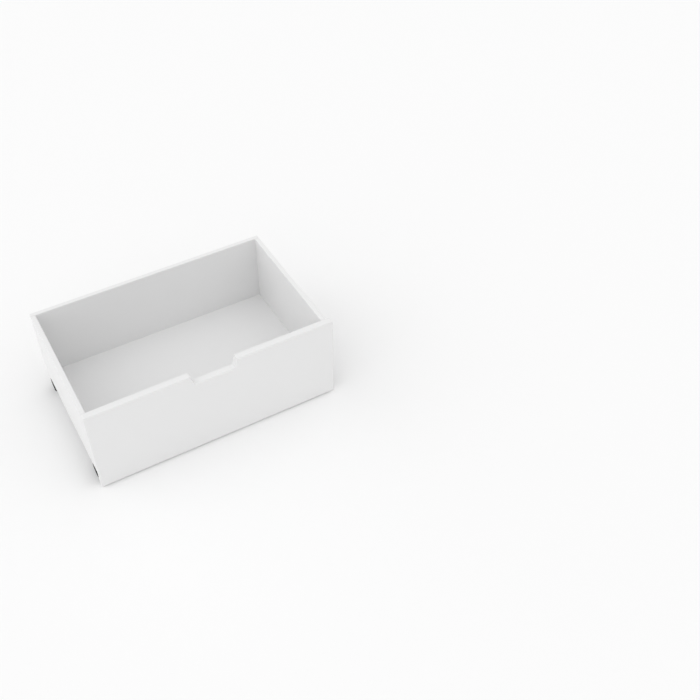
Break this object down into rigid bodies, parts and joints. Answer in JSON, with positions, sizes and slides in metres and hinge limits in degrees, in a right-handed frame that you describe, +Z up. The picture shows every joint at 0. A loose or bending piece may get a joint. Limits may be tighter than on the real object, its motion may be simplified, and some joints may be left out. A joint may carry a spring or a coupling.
{
  "type": "under-bed storage drawer",
  "caption": "Open storage drawer of white painted boards on fixed castors, with a wide flat front panel and a finger notch in its top edge, made to roll under a bed.",
  "frame": {"origin": "on the floor under the middle of the footprint: half way along the front panel, and half way between the front face and the back's rear face", "axes": "+Z up, -Y out of the front face, +X to the right seen from the front, along the front panel"},
  "size_m": [0.8, 0.5, 0.315],
  "materials": {
    "painted_board": "white satin paint on fibreboard",
    "zinc_plated_steel": "bright zinc plate",
    "black_plastic": "moulded, fine grain",
    "rivet_steel": "bright",
    "screw_steel": "bright zinc plate",
    "cast_zinc": "as cast, dull",
    "beech_dowel": "bare, fluted"
  },
  "bodies": {
    "drawer": {"front_panel": "painted_board", "left_side_panel": "painted_board", "right_side_panel": "painted_board", "back_panel": "painted_board", "base_panel": "painted_board", "castor_bracket_front_left": "zinc_plated_steel", "castor_bracket_front_right": "zinc_plated_steel", "castor_bracket_rear_left": "zinc_plated_steel", "castor_bracket_rear_right": "zinc_plated_steel", "castor_rivets": "rivet_steel", "castor_screws": "screw_steel", "back_screws": "screw_steel", "base_screws": "screw_steel", "cam_locks": "cast_zinc", "cam_bolts": "screw_steel", "front_dowels": "beech_dowel"},
    "wheel_front_left": {"castor_wheel_front_left": "black_plastic"},
    "wheel_front_right": {"castor_wheel_front_right": "black_plastic"},
    "wheel_rear_left": {"castor_wheel_rear_left": "black_plastic"},
    "wheel_rear_right": {"castor_wheel_rear_right": "black_plastic"}
  },
  "joints": [
    {"name": "front_left_wheel_turn", "type": "hinge", "parent": "drawer", "child": "wheel_front_left", "pos_m": [-0.3909, -0.194, 0.025], "axis": [1, 0, 0], "continuous": true},
    {"name": "front_right_wheel_turn", "type": "hinge", "parent": "drawer", "child": "wheel_front_right", "pos_m": [0.3759, -0.194, 0.025], "axis": [1, 0, 0], "continuous": true},
    {"name": "rear_left_wheel_turn", "type": "hinge", "parent": "drawer", "child": "wheel_rear_left", "pos_m": [-0.3909, 0.216, 0.025], "axis": [1, 0, 0], "continuous": true},
    {"name": "rear_right_wheel_turn", "type": "hinge", "parent": "drawer", "child": "wheel_rear_right", "pos_m": [0.3759, 0.216, 0.025], "axis": [1, 0, 0], "continuous": true}
  ]
}
